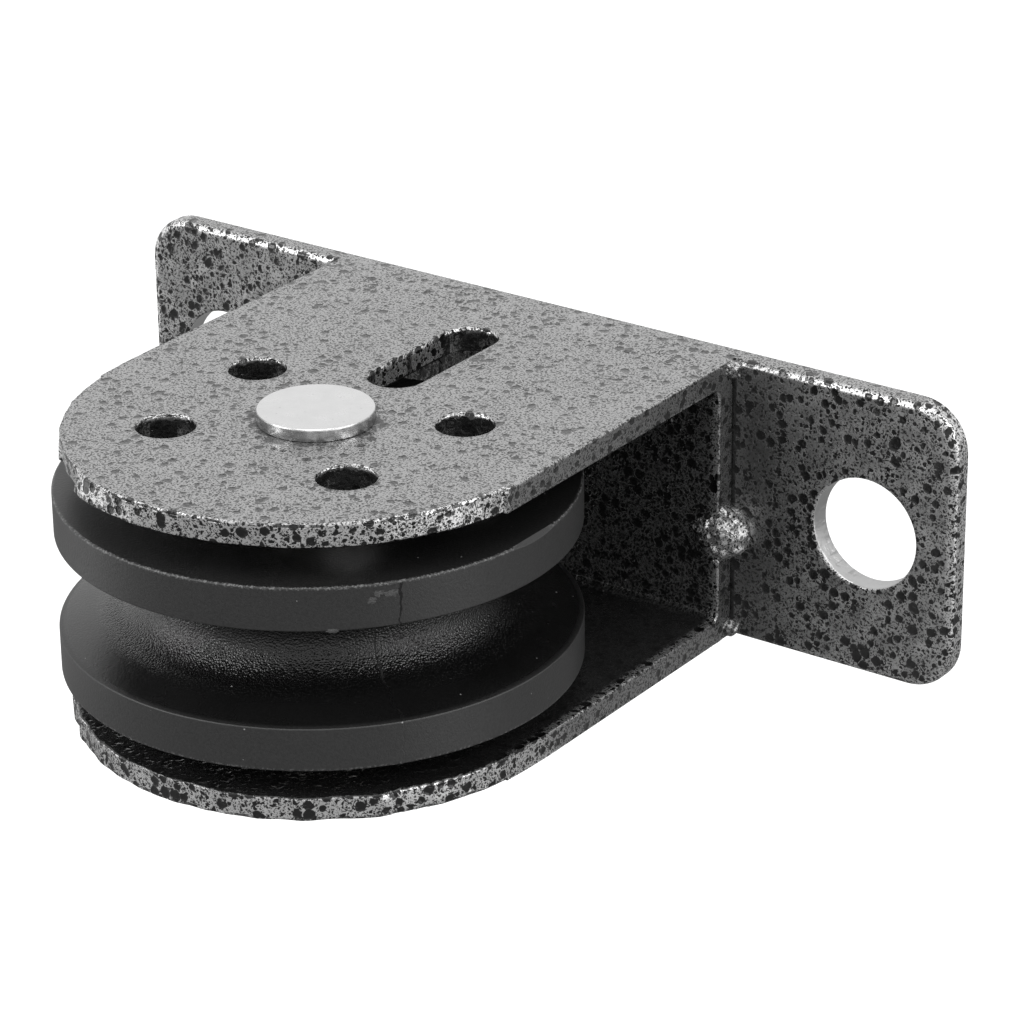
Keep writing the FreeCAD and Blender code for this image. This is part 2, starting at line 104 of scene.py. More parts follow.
def make_light(name, size, power, place, target=AXLE):
    """A soft square light, aimed at the target and unseen by the camera."""
    light = bpy.data.lights.new(name, "AREA")
    light.shape = "SQUARE"
    light.size = size
    light.energy = power
    lamp = bpy.data.objects.new(name, light)
    bpy.context.scene.collection.objects.link(lamp)
    lamp.matrix_world = (Matrix.Translation(place)
                         @ (target - place).to_track_quat("-Z", "Y").to_matrix().to_4x4())
    lamp.visible_camera = False


def make_studio():
    """Soft boxes, a pale floor and a pale surround, with a dark card low in front of the object."""
    world = bpy.data.worlds.new("studio")
    bpy.context.scene.world = world
    world.use_nodes = True
    sky = Shade("sky", world.node_tree)
    height = sky.axes(sky.tree.nodes["Texture Coordinate"].outputs["Generated"])[2]
    surround = sky.node("ShaderNodeBackground", None,
                        {"Color": (1, 1, 1, 1), "Strength": height.above(-0.3, 0.05) * 0.65 + 0.33})
    sky.node("ShaderNodeOutputWorld", None, {"Surface": surround.outputs[0]})
    make_light("left_softbox", 0.9, 15.0, aimed_from(-38, 34, 1.8))
    make_light("right_softbox", 0.9, 12.0, aimed_from(102, 36, 1.8))
    make_light("overhead_softbox", 1.0, 9.0, aimed_from(30, 75, 1.7))
    make_light("low_right_panel", 1.0, 5.0, aimed_from(92, -8, 1.8))
    make_light("low_left_panel", 1.0, 4.0, aimed_from(-74, -12, 1.8))
    floor = box_mesh("floor", Vector((-8, -8, -0.41)), Vector((8, 8, -0.4)))
    shade = Shade("pale_floor")
    shade.finish(base=(0.95, 0.95, 0.95, 1), roughness=0.9)
    floor.data.materials.append(shade.material)
    floor.visible_glossy = False
    floor.visible_diffuse = False
    flag = box_mesh("dark_flag", Vector((-75, -128, -33)) * MM, Vector((75, 10, -31)) * MM)
    felt = Shade("dark_felt")
    felt.finish(base=grey(0.25), roughness=0.9)
    flag.data.materials.append(felt.material)
    flag.visible_camera = False
    bpy.context.scene.view_settings.view_transform = "Standard"


# ---- shader writing ---------------------------------------------------------------------------

class Signal:
    """One number that varies over a surface, with its arithmetic written as Python."""

    def __init__(self, shade, socket):
        self.shade = shade
        self.socket = socket

    def maths(self, operation, *values):
        made = self.shade.node("ShaderNodeMath", {"operation": operation}, dict(enumerate(values)))
        return Signal(self.shade, made.outputs[0])

    def __add__(self, other):
        return self.maths("ADD", self, other)

    def __radd__(self, other):
        return self.maths("ADD", other, self)

    def __sub__(self, other):
        return self.maths("SUBTRACT", self, other)

    def __rsub__(self, other):
        return self.maths("SUBTRACT", other, self)

    def __mul__(self, other):
        return self.maths("MULTIPLY", self, other)

    def __rmul__(self, other):
        return self.maths("MULTIPLY", other, self)

    def __pow__(self, other):
        return self.maths("POWER", self, other)

    def absolute(self):
        return self.maths("ABSOLUTE", self)

    def sine(self):
        return self.maths("SINE", self)

    def above(self, low, high):
        """0 below low, 1 above high, and a smooth step between."""
        settings = {"interpolation_type": "SMOOTHSTEP"}
        made = self.shade.node("ShaderNodeMapRange", settings,
                               {"Value": self, "From Min": low, "From Max": high})
        return Signal(self.shade, made.outputs[0])

    def below(self, low, high):
        return 1 - self.above(low, high)

    def most(self, other):
        return self.maths("MAXIMUM", self, other)


class Shade:
    """A material and the few kinds of node that its pattern is made from. Sizes are in millimetres."""

    def __init__(self, name, tree=None):
        if tree is None:
            self.material = bpy.data.materials.new(name)
            self.material.use_nodes = True
            tree = self.material.node_tree
        self.tree = tree
        self.tree.nodes.clear()
        self.place = self.node("ShaderNodeTexCoord").outputs["Object"]

    def node(self, kind, settings=None, inputs=None):
        """Any node: its settings first, then the values or links of its sockets."""
        made = self.tree.nodes.new(kind)
        for name, value in (settings or {}).items():
            setattr(made, name, value)
        for name, value in (inputs or {}).items():
            if isinstance(value, Signal):
                value = value.socket
            if isinstance(value, bpy.types.NodeSocket):
                self.tree.links.new(value, made.inputs[name])
            else:
                made.inputs[name].default_value = value
        return made

    def signal(self, socket):
        return Signal(self, socket)

    def moved(self, place, move=(0, 0, 0), turn=(0, 0, 0), stretch=(1, 1, 1)):
        made = self.node("ShaderNodeMapping", None,
                         {"Vector": place, "Location": move, "Rotation": turn, "Scale": stretch})
        return made.outputs[0]

    def wobbled(self, place, size, amount):
        """The place, pushed about by a noise of that size."""
        cloud = self.node("ShaderNodeTexNoise", None,
                          {"Vector": place, "Scale": 1 / (size * MM), "Detail": 1.0})
        centred = self.node("ShaderNodeVectorMath", {"operation": "SUBTRACT"},
                            {0: cloud.outputs["Color"], 1: (0.5, 0.5, 0.5)})
        pushed = self.node("ShaderNodeVectorMath", {"operation": "MULTIPLY_ADD"},
                           {0: centred.outputs[0], 1: (amount * MM,) * 3, 2: place})
        return pushed.outputs[0]

    def centred(self):
        """The place, measured from the middle of the axle."""
        return self.moved(self.place, move=tuple(-AXLE))

    def about_axle(self):
        """The axes measured from the middle of the axle, then the distance from its line."""
        across, along, up = self.axes(self.centred())
        return across, along, up, (across * across + along * along) ** 0.5

    def from_tack(self):
        """Distance from the middle of the nearer side tack weld."""
        folded = self.node("ShaderNodeVectorMath", {"operation": "ABSOLUTE"},
                           {0: self.moved(self.place, move=(0, -TACK.y, -TACK.z))})
        away = self.moved(folded.outputs[0], move=(-TACK.x, 0, 0))
        length = self.node("ShaderNodeVectorMath", {"operation": "LENGTH"}, {0: away})
        return self.signal(length.outputs["Value"])

    def cloud(self, size, detail=2.0, place=None, rough=0.5):
        made = self.node("ShaderNodeTexNoise", None,
                         {"Vector": place or self.place, "Scale": 1 / (size * MM),
                          "Detail": detail, "Roughness": rough})
        return self.signal(made.outputs["Fac"])

    def cells(self, size, place=None):
        """Distance from the nearest cell's centre in cell widths, and a random number for that cell."""
        made = self.node("ShaderNodeTexVoronoi", {"feature": "F1"},
                         {"Vector": place or self.place, "Scale": 1 / (size * MM)})
        drawn = self.node("ShaderNodeSeparateColor", None, {0: made.outputs["Color"]})
        return self.signal(made.outputs["Distance"]), self.signal(drawn.outputs[0])

    def axes(self, place=None):
        made = self.node("ShaderNodeSeparateXYZ", None, {0: place or self.place})
        return [self.signal(made.outputs[index]) for index in range(3)]

    def blend(self, amount, first, second):
        made = self.node("ShaderNodeMix", {"data_type": "RGBA"}, {0: amount, 6: first, 7: second})
        return made.outputs[2]

    def bump(self, height, depth, below=None):
        """A relief of that depth in millimetres where the height goes from 0 to 1."""
        inputs = {"Height": height, "Distance": depth * MM, "Strength": 1.0}
        if below:
            inputs["Normal"] = below
        return self.node("ShaderNodeBump", None, inputs).outputs[0]

    def finish(self, base, roughness, metallic=0.0, normal=None, fixed=None):
        inputs = {"Base Color": base, "Roughness": roughness, "Metallic": metallic}
        inputs.update(fixed or {})
        if normal:
            inputs["Normal"] = normal
        shader = self.node("ShaderNodeBsdfPrincipled", None, inputs)
        self.node("ShaderNodeOutputMaterial", None, {"Surface": shader.outputs[0]})
        return self.material


def grey(value):
    return (value, value, value, 1.0)


# ---- finishes ---------------------------------------------------------------------------------

def hammertone_paint():
    """Stoved hammertone: black glossy pits, large and small, in a net of aluminium flake."""
    shade = Shade("hammertone_paint")
    across, along, up = shade.axes()
    side, level = across.absolute(), up.absolute()
    upright = level.below(CHEEK_TOP - 0.25 * MM, CHEEK_TOP - 0.05 * MM)
    wavy = shade.wobbled(shade.place, 0.9, 0.55)
    ragged = shade.cloud(1.5, 3.0)
    crowd = shade.cloud(7.0, 2.0) * 0.16 - 0.08
    tack = shade.from_tack().below(3.4 * MM, 4.4 * MM)
    big_pit, small_pit, dish = paint_pits(shade, wavy, crowd, upright, tack)
    # inside: where painted shade darkens the inner faces of the bracket and the walls of its holes.
    inside = shaded_inside(side, along, level).most(shaded_hole_walls(side, along, level, ragged)) * (1 - tack)
    bare = bolt_walls(side, up)
    lip = thin_lip(along, level, ragged)
    # Painted shadow and reflection of the rivet's head, in a ring round it.
    head_shadow = painted_head_shadow(across, along, ragged)
    # seam: painted shade of the gap between the web's side edges and the plate.
    seam = seam_gap_shade(side, along) * (1 - tack)
    net = flake_net(shade, wavy, crowd, upright, inside)
    hidden = (big_pit.most(small_pit) * (0.88 + upright * 0.12)).most(lip * 0.9)
    hidden = hidden.most(head_shadow * 0.8).most(seam * 0.95)
    flake = (net * (1 - hidden)).most(bare)
    # Painted highlight: the flake is lighter on upright faces than on the tops, a lit and a shaded copy of
    # one flake.
    tone = shade.blend(flake, grey(0.003), shade.blend(upright, grey(0.43), grey(0.66)))
    # Painted shade: the web's side edges and the plate beside the web's right edge go dark.
    tone = shade.blend(shade_beside_web(across, side, along) * upright * (1 - tack), tone, grey(0.03))
    # Painted shade: inside the bracket and its holes the colour goes near black.
    tone = shade.blend(inside * 0.92, tone, grey(0.01))
    tone = shade.blend(bare, tone, grey(0.5))
    relief = (1 - dish) * 0.9 + (1 - small_pit) * 0.3 + shade.cloud(0.45, 2.0) * 0.6 - lip * 0.8
    normal = shade.bump(relief * (1.25 - upright * 0.25) * (1 - tack * 0.3), 0.085)
    roughness = 0.12 + flake * 0.26 + tack * 0.12 + head_shadow * 0.3
    return shade.finish(tone, roughness, flake, normal, {"IOR": 1.5})


def paint_pits(shade, wavy, crowd, upright, tack):
    """Masks of the large pits, the small pits, and the wide dishes that the large pits lie in."""
    big, big_draw = shade.cells(1.75, wavy)
    small, small_draw = shade.cells(0.8, wavy)
    present = big_draw.above(0.2, 0.22) * (1 - tack * 0.6)
    from_big = big - (big_draw * 0.26 + 0.16 + upright * 0.08 + crowd)
    from_small = small - (small_draw * 0.42 - 0.04 + upright * 0.10 + crowd)
    big_pit = from_big.below(-0.04, 0.03) * present
    dish = from_big.below(-0.22, 0.06) * present
    return big_pit, from_small.below(-0.06, 0.05) * (1 - tack * 0.4), dish


def flake_net(shade, wavy, crowd, upright, inside):
    """Fine grains of flake everywhere, and thin strands of it on upright faces, both thinned by the painted
    shade inside the bracket.
    """
    grain = shade.cloud(0.3, 2.0, rough=0.65) - crowd * 0.4 - inside * 0.10 - upright * 0.055 - 0.45
    strands = (shade.cloud(0.62, 1.0, wavy) - 0.5).absolute().below(0.03, 0.075)
    return grain.above(-0.04, 0.08).most(strands * upright * (0.95 - inside * 0.5))


def shaded_inside(side, along, level):
    """The inner faces of the bracket, darkened as painted shade."""
    between = level.below(CHEEK_TOP - 3.35 * MM, CHEEK_TOP - 3.2 * MM)
    within = side.below(CHEEK_HALF_WIDTH - 2.0 * MM, CHEEK_HALF_WIDTH - 0.4 * MM)
    return between * within * along.below(WEB_FRONT - 0.5 * MM, WEB_FRONT + 1.0 * MM)


def shaded_hole_walls(side, along, level, ragged):
    """The walls of each cheek's holes and slot, up to just below their rims, which take painted shade."""
    walls = None
    for aside, behind, radius in CHEEK_HOLES:
        over = side - aside * MM
        down = along - AXLE.y - behind * MM
        wall = (over * over + down * down).below(((radius + 0.02) * MM) ** 2, ((radius + 0.12) * MM) ** 2)
        walls = wall if walls is None else walls.most(wall)
    return walls * (level + (ragged - 0.5) * MM).below(CHEEK_TOP - 0.6 * MM, CHEEK_TOP - 0.3 * MM)


def bolt_walls(side, up):
    """The walls of the two bolt holes, where thin paint lets bright steel through."""
    from_hole = side - BOLT_REACH
    edge = BOLT_RADIUS + 0.05 * MM
    return (from_hole * from_hole + up * up).below(edge ** 2, (edge + 0.07 * MM) ** 2)


def thin_lip(along, level, ragged):
    """A broken dark line just inside the rims of both noses."""
    line = level.above(CHEEK_TOP - 0.62 * MM, CHEEK_TOP - 0.5 * MM)
    line = line * level.below(CHEEK_TOP - 0.24 * MM, CHEEK_TOP - 0.12 * MM)
    return line * ragged.above(0.44, 0.56) * along.below(AXLE.y - 8 * MM, AXLE.y)


def painted_head_shadow(across, along, ragged):
    """A ragged dark ring round the rivet's head: the head's painted shadow and reflection on the paint."""
    from_head = (across * across + (along - AXLE.y) ** 2) ** 0.5 - HEAD_RADIUS * 1.02
    return (from_head + (ragged - 0.5) * 9 * MM).below(0.2 * MM, 1.6 * MM)


def seam_gap_shade(side, along):
    """Painted shade: the dark line in the gap where the web's side edges meet the plate."""
    beside = side.above(CHEEK_HALF_WIDTH - 0.4 * MM, CHEEK_HALF_WIDTH - 0.3 * MM)
    beside = beside * side.below(CHEEK_HALF_WIDTH + 0.3 * MM, CHEEK_HALF_WIDTH + 0.6 * MM)
    return beside * (along - PLATE_FRONT).absolute().below(0.3 * MM, 0.5 * MM)


def shade_beside_web(across, side, along):
    """Painted shade on the web's side edges, and on the plate's front beside the web's right edge, where the
    bracket shades it.
    """
    corner = across.above(CHEEK_HALF_WIDTH - 0.4 * MM, CHEEK_HALF_WIDTH)
    corner = corner * across.below(CHEEK_HALF_WIDTH + 3 * MM, CHEEK_HALF_WIDTH + 18 * MM)
    corner = corner * along.below(PLATE_FRONT + 0.6 * MM, PLATE_FRONT + 1.2 * MM)
    strip = side.above(CHEEK_HALF_WIDTH - 0.4 * MM, CHEEK_HALF_WIDTH - 0.3 * MM)
    strip = strip * along.above(WEB_FRONT, WEB_FRONT + 0.1 * MM)
    strip = strip * along.below(PLATE_FRONT, PLATE_FRONT + 0.1 * MM)
    return (corner * 0.55).most(strip * 0.5)


def black_nylon():
    """Moulded nylon: satin rims, and a groove with a coarser sparkling texture."""
    shade = Shade("black_nylon")
    across, along, up, radius = shade.about_axle()
    level = up.absolute()
    neck = radius.below(27.5 * MM, 31.0 * MM) * level.below(6.0 * MM, 6.8 * MM)
    groove = radius.below(RIM_RADIUS - 0.9 * MM, RIM_RADIUS - 0.3 * MM) * level.below(6.6 * MM, 7.0 * MM)
    rim = radius.above(RIM_RADIUS - 0.1 * MM, RIM_RADIUS - 0.05 * MM)
    nicked = radius.above(RIM_RADIUS + 0.01 * MM, RIM_RADIUS + 0.04 * MM)
    corner = RIM_RADIUS + WHEEL_HALF
    edge_highlight = (radius + level).above(corner - 0.5 * MM, corner - 0.2 * MM)
    fine = shade.cloud(0.34, 2.0, rough=0.7)
    haze = shade.cloud(9.0, 3.0)
    grain, grain_draw = shade.cells(0.29)
    sparkle = 1 - grain * (grain_draw * 0.5 + 0.6)
    speck, speck_draw = shade.cells(2.2)
    dust = (speck - 0.07 * speck_draw).below(-0.02, 0.005) * speck_draw.above(0.55, 0.56)
    parting = parting_lines(shade, across, along, up, radius)
    tone = shade.blend(fine.above(0.3, 0.7) * 0.7 + haze * 0.3, grey(0.003), grey(0.010))
    tone = shade.blend(rim * fine, tone, grey(0.022))
    # Painted shade: the groove is darker than the rims.
    tone = shade.blend(groove * 0.7, tone, grey(0.002))
    tone = shade.blend(nicked * 0.8, tone, grey(0.06))
    # Painted highlight: a stippled lighter line along the rims' outer corners.
    tone = shade.blend(edge_highlight * fine.above(0.5, 0.62), tone, grey(0.10))
    tone = shade.blend(dust * 0.6, tone, grey(0.40))
    tone = shade.blend(parting * 0.9, tone, grey(0.001))
    roughness = 0.33 + haze * 0.12 + rim * 0.08 - groove * 0.12 - neck * 0.1 + parting * 0.5
    satin = shade.bump(fine, 0.045)
    grained = shade.bump(sparkle * neck, 0.10, satin)
    normal = shade.bump(1 - parting, 0.14, grained)
    return shade.finish(tone, roughness, 0.0, normal, {"IOR": 1.52})


def parting_lines(shade, across, along, up, radius):
    """Thin lines where the mould's halves met, clear on the upper rim and the neck, faint elsewhere."""
    stray = shade.cloud(1.7, 3.0) * 1.6 * MM - 0.8 * MM
    aside = (across * math.sin(-PARTING) + along * math.cos(PARTING) + stray).absolute()
    line = (aside - up.above(6 * MM, 11 * MM) * 0.12 * MM).below(0.06 * MM, 0.13 * MM)
    line = line * radius.above(22 * MM, 23 * MM)
    line = line * up.absolute().below(WHEEL_HALF - 0.5 * MM, WHEEL_HALF - 0.2 * MM)
    strong = up.above(5 * MM, 6.5 * MM).most(radius.below(26 * MM, 29 * MM))
    return line * (strong * 0.85 + 0.15)


def plated_axle():
    """Bright plated steel with turning marks on the head and fine scratches over it."""
    shade = Shade("plated_axle")
    centred = shade.centred()
    up, radius = shade.about_axle()[2:]
    rings = (radius * (2 * math.pi / (0.21 * MM))).sine()
    first = shade.cloud(0.35, 2.0, shade.moved(centred, turn=(0, 0, 0.7), stretch=(1, 16, 1)))
    second = shade.cloud(0.3, 2.0, shade.moved(centred, turn=(0, 0, -0.4), stretch=(1, 22, 1)))
    marks = first.above(0.66, 0.74).most(second.above(0.68, 0.76))
    smear = shade.cloud(2.5, 3.0)
    pit, pit_draw = shade.cells(0.9)
    pits = (pit - 0.10 * pit_draw).below(0.0, 0.05) * pit_draw.above(0.55, 0.6)
    tone = shade.blend(smear, grey(0.66), grey(0.76))
    tone = shade.blend(pits * 0.5, tone, grey(0.35))
    edge = radius.above(HEAD_RADIUS - 0.15 * MM, HEAD_RADIUS - 0.05 * MM)
    edge = edge * up.above(CHEEK_TOP, CHEEK_TOP + 0.1 * MM)
    # Painted reflection: a dark band in patches round the rim of the head.
    tone = shade.blend(edge * smear.above(0.3, 0.6), tone, grey(0.3))
    roughness = 0.17 + smear * 0.16 + marks * 0.15
    relief = shade.bump(rings * 0.5 + 0.5, 0.0008)
    normal = shade.bump(1 - marks.most(pits), 0.004, relief)
    return shade.finish(tone, roughness, 1.0, normal)


def turned_steel(name, tone_low, tone_high, roughness, ring_width, tint=(1, 1, 1)):
    """Machined or pressed steel: fine rings about the axle and clouded tone."""
    shade = Shade(name)
    up, radius = shade.about_axle()[2:]
    rings = ((radius + up) * (2 * math.pi / (ring_width * MM))).sine()
    smear = shade.cloud(1.6, 3.0)
    fine = shade.cloud(0.12, 2.0)
    low = tuple(tone_low * part for part in tint) + (1.0,)
    high = tuple(tone_high * part for part in tint) + (1.0,)
    tone = shade.blend(smear, low, high)
    normal = shade.bump(rings * 0.3 + fine, 0.0015)
    return shade.finish(tone, roughness + smear * 0.15, 1.0, normal)


# ---- mesh helpers -----------------------------------------------------------------------------

def finished(name, mesh_maker, body, slot=None, stands_for=(), smooth_below=38):
    """Turns a bmesh into a piece that rides on a body and stands for CAD nodes."""
    mesh = bpy.data.meshes.new(name)
    mesh_maker.to_mesh(mesh)
    mesh_maker.free()
    mesh.shade_smooth()
    mesh.set_sharp_from_angle(angle=math.radians(smooth_below))
    piece = bpy.data.objects.new(name, mesh)
    bpy.context.scene.collection.objects.link(piece)
    if body:
        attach(piece, body)
        mesh.materials.append(FINISHES[slot])
    if stands_for:
        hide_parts(*stands_for)
    return piece


def box_mesh(name, low, high):
    shape = bmesh.new()
    bmesh.ops.create_cube(shape, size=1.0)
    bmesh.ops.scale(shape, vec=high - low, verts=shape.verts)
    bmesh.ops.translate(shape, vec=(low + high) / 2, verts=shape.verts)
    return finished(name, shape, None)


def spun(points, steps, closed=False):
    """A bmesh turned about the axle's line from (radius, height) points."""
    shape = bmesh.new()
    section = [shape.verts.new((AXLE.x + radius, AXLE.y, up)) for radius, up in points]
    pairs = list(zip(section, section[1:]))
    if closed:
        pairs.append((section[-1], section[0]))
    edges = [shape.edges.new(pair) for pair in pairs]
    bmesh.ops.spin(shape, geom=section + edges, cent=AXLE, axis=(0, 0, 1),
                   angle=2 * math.pi, steps=steps, use_merge=True)
    bmesh.ops.remove_doubles(shape, verts=shape.verts, dist=1e-6)
    bmesh.ops.recalc_face_normals(shape, faces=shape.faces)
    return shape


def arc(centre, radius, start, end, steps):
    """Points on an arc from one angle to another, in degrees."""
    turns = [math.radians(start + (end - start) * step / steps) for step in range(steps + 1)]
    return [(centre[0] + radius * math.cos(turn), centre[1] + radius * math.sin(turn)) for turn in turns]


def weighted(piece):
    """Flat faces keep their own shading next to small rounds."""
    piece.modifiers.new("flat_faces_first", "WEIGHTED_NORMAL").keep_sharp = True
    return piece


def copied(node):
    """A bmesh with the shape of a CAD node, its loose triangles merged."""
    shape = bmesh.new()
    shape.from_mesh(nodes[node].data)
    bmesh.ops.remove_doubles(shape, verts=shape.verts, dist=1e-6)
    return shape


def everything(shape):
    return list(shape.verts) + list(shape.edges) + list(shape.faces)


def sliced(shape, axis, reach):
    """Cuts the shape by the plane across an axis that lies at that reach along it."""
    place, direction = Vector(), Vector()
    place[axis] = reach
    direction[axis] = 1
    bmesh.ops.bisect_plane(shape, geom=everything(shape), dist=1e-6, plane_co=place, plane_no=direction)


def gridded(shape, axis, low, high, step):
    """Cuts the shape by parallel planes, so that flat faces get vertices for a relief."""
    count = int((high - low) / step)
    for index in range(1, count):
        sliced(shape, axis, low + (high - low) * index / count)


def rippled(shape, size, depth, seed):
    """Lets the paint's surface sink unevenly by up to the depth, in millimetres."""
    shape.normal_update()
    offset = Vector((seed, seed * 0.7, seed * 1.3))
    for vertex in shape.verts:
        if max(abs(part) for part in vertex.normal) < 0.95:
            continue
        swell = noise.fractal(vertex.co / (size * MM) + offset, 1.0, 2.0, 2) * 0.5 + 0.5
        vertex.co -= vertex.normal * (depth * MM * min(max(swell, 0.0), 1.0))


# ---- wheel ------------------------------------------------------------------------------------

def make_wheel():
    """The moulded sheave, with rounded rims and a flat on the upper one where its gate was shaved off."""
    mouth, slope, floor = 6.8 * MM, 13.3, 5.15 * MM
    round_out, round_in = 0.32 * MM, 0.22 * MM
    seat, shoulder, shoulder_up = 13.0 * MM, 11.4 * MM, WHEEL_HALF - 8.45 * MM
    lean = math.radians(slope)
    flank_in = RIM_RADIUS - (mouth - floor * math.cos(lean)) / math.tan(lean)
    middle = flank_in + floor * math.sin(lean)
    side = [(shoulder, 0), (shoulder, shoulder_up), (seat, shoulder_up), (seat, WHEEL_HALF - 0.4 * MM),
            (seat + 0.4 * MM, WHEEL_HALF)]
    face = [(seat + (RIM_RADIUS - round_out - seat) * share, WHEEL_HALF)
            for share in (0.25, 0.5, 0.75, 0.93)]
    rim = arc((RIM_RADIUS - round_out, WHEEL_HALF - round_out), round_out, 90, 0, 6)
    lip = arc((RIM_RADIUS - round_in, mouth + round_in), round_in, 0, -90 + slope, 4)
    flank = [(RIM_RADIUS + (flank_in - RIM_RADIUS) * share,
              mouth + (floor * math.cos(lean) - mouth) * share) for share in (0.2, 0.5, 0.8)]
    bottom = arc((middle, 0), floor, 90 + slope, 180, 14)
    upper = side + face + rim + lip + flank + bottom
    lower = [(radius, -up) for radius, up in reversed(upper[1:-1])]
    shape = spun(upper + lower, 256, closed=True)
    shave_gate(shape, round_out)
    weighted(finished("moulded_wheel", shape, "wheel", "black_nylon", ["sheave"]))
    make_nicks()


def shave_gate(shape, rim_round):
    """Cuts a slanting flat across the upper rim's corner."""
    turn, half_span, tilt = math.radians(0.1), math.radians(8.8), math.radians(45)
    outward = Vector((math.cos(turn), math.sin(turn), 0))
    lean_out = outward * math.cos(tilt) + Vector((0, 0, math.sin(tilt)))
    end_corner = Vector((RIM_RADIUS * math.cos(half_span), WHEEL_HALF))
    depth = (end_corner.x + end_corner.y) * math.cos(tilt) - rim_round * (math.sqrt(2) - 1)
    cut = bmesh.ops.bisect_plane(shape, geom=everything(shape), dist=1e-7,
                                 plane_co=AXLE + lean_out * depth, plane_no=lean_out, clear_outer=True)
    edges = [edge for edge in cut["geom_cut"] if isinstance(edge, bmesh.types.BMEdge)]
    bmesh.ops.holes_fill(shape, edges=edges, sides=0)
    bmesh.ops.triangulate(shape, faces=[face for face in shape.faces if len(face.verts) > 4])


def make_nicks():
    """Small bruises that stand up from the upper rim near the parting line."""
    places = ((-39.9, 11.5, 0.8, 0.55), (-37.1, 11.3, 1.25, 0.6), (-41.3, 10.7, 0.7, 0.6),
              (-49.5, 6.9, 0.9, 0.34))
    nicks = []
    for turn, up, wide, high in places:
        shape = lump(Vector((RIM_RADIUS, 0, up * MM)), Vector((0.09, wide, high)) * MM, turn, 0.5, 4)
        bmesh.ops.rotate(shape, cent=(0, 0, 0), matrix=Matrix.Rotation(math.radians(turn), 3, "Z"),
                         verts=shape.verts)
        bmesh.ops.translate(shape, vec=AXLE, verts=shape.verts)
        nicks.append(shape)
    finished("rim_nicks", joined(nicks), "wheel", "black_nylon")


# ---- steelwork --------------------------------------------------------------------------------

def ramp(points, value):
    """The height at a place on a line through (place, height) points."""
    for (low, first), (high, second) in zip(points, points[1:]):
        if value <= high:
            return first + (second - first) * max(value - low, 0) / (high - low)
    return points[-1][1]


# How far the lower and upper edges of the upper cheek stand from a true round, in millimetres,
# by the angle about the axle in degrees. The lower edge has a sheared flat with a step at each end.
SHEAR_LOW = ((-180, 0.0), (-138, 0.0), (-136.4, 0.35), (-135.6, -0.25), (-119.2, -0.35), (-118.0, 0.7),
             (-108, 0.5), (-92, 0.05), (-77, -0.3), (-40, -0.3), (-20, -0.05), (-8, 0.0), (180, 0.0))
SHEAR_HIGH = ((-180, 0.0), (-120, 0.0), (-112, 0.25), (-92, 0.05), (-77, -0.2), (-40, -0.2),
              (-8, 0.0), (180, 0.0))
SHEAR_STEPS = SHEAR_LOW[2:6]


def sheared(shape):
    """The rough outline that shearing and thick paint leave round the noses of both cheeks."""
    for degrees, _ in SHEAR_STEPS:
        cut_at_turn(shape, math.radians(degrees), 24 * MM)
    narrowed(shape)
    bmesh.ops.dissolve_degenerate(shape, edges=shape.edges, dist=5e-6)
    inner, full = 31 * MM, 33 * MM
    for vertex in shape.verts:
        arm = Vector((vertex.co.x, vertex.co.y - AXLE.y, 0))
        if arm.length < inner or vertex.co.y > AXLE.y + 24 * MM:
            continue
        turn = math.degrees(math.atan2(arm.y, arm.x))
        if turn > 90:
            turn -= 360
        fade = ramp(((-200, 0.0), (-175, 1.0), (-9, 1.0), (-7, 0.0)), turn)
        share = min((arm.length - inner) / (full - inner), 1.0)
        vertex.co += arm.normalized() * (outline_error(vertex.co, turn) * MM * fade * share)


def cut_at_turn(shape, turn, start):
    """Cuts the shape by the upright plane through the axle's line at that turn, from the start outwards."""
    outward = Vector((math.cos(turn), math.sin(turn), 0))
    near = [face for face in shape.faces if (face.calc_center_median() - AXLE).dot(outward) > start]
    geometry = near + list({edge for face in near for edge in face.edges})
    geometry += list({vertex for face in near for vertex in face.verts})
    bmesh.ops.bisect_plane(shape, geom=geometry, dist=1e-6, plane_co=AXLE,
                           plane_no=(-outward.y, outward.x, 0))


def narrowed(shape):
    """Draws the cheeks' sides in towards their noses. Only the upper right one keeps the step there."""
    start, end, run, inward = 13.4, -4.6, 17.8, 0.79
    for vertex in shape.verts:
        back = (vertex.co.y - AXLE.y) / MM
        if end < back < start and not (vertex.co.x > 0 and vertex.co.z > 0):
            reach = CHEEK_HALF_WIDTH - inward * MM * ((start - back) / run) ** 2
            vertex.co.x = min(max(vertex.co.x, -reach), reach)


def outline_error(place, turn):
    """How far a cheek's edge stands from a true round at that place, in millimetres."""
    upper = place.z > 0
    lumps = noise.noise(Vector((turn / 5, 3.0 if upper else 9.0, place.z / (5 * MM)))) * 0.3
    if not upper:
        return lumps + noise.noise(Vector((turn / 9, 1.0, 2.0))) * 0.5
    rise = (place.z - CHEEK_TOP + SHEET) / SHEET
    return lumps * 0.7 + ramp(SHEAR_LOW, turn) * (1 - rise) + ramp(SHEAR_HIGH, turn) * rise


def eased(shape):
    """Lets the wall plate's front face fall away a little along its outline."""
    wide, deep = 1.2 * MM, 0.26 * MM
    for axis in (0, 2):
        for inset in (0.45 * MM, 0.8 * MM):
            for side in (-1, 1):
                sliced(shape, axis, side * (plate_high[axis] - inset))
    for vertex in shape.verts:
        if vertex.co.y < PLATE_FRONT + deep:
            over = abs(vertex.co.x) - plate_high.x + PLATE_CORNER
            above = abs(vertex.co.z) - plate_high.z + PLATE_CORNER
            inset = PLATE_CORNER - math.hypot(max(over, 0), max(above, 0)) - min(max(over, above), 0)
            vertex.co.y += deep * max(1 - max(inset, 0) / wide, 0) ** 2


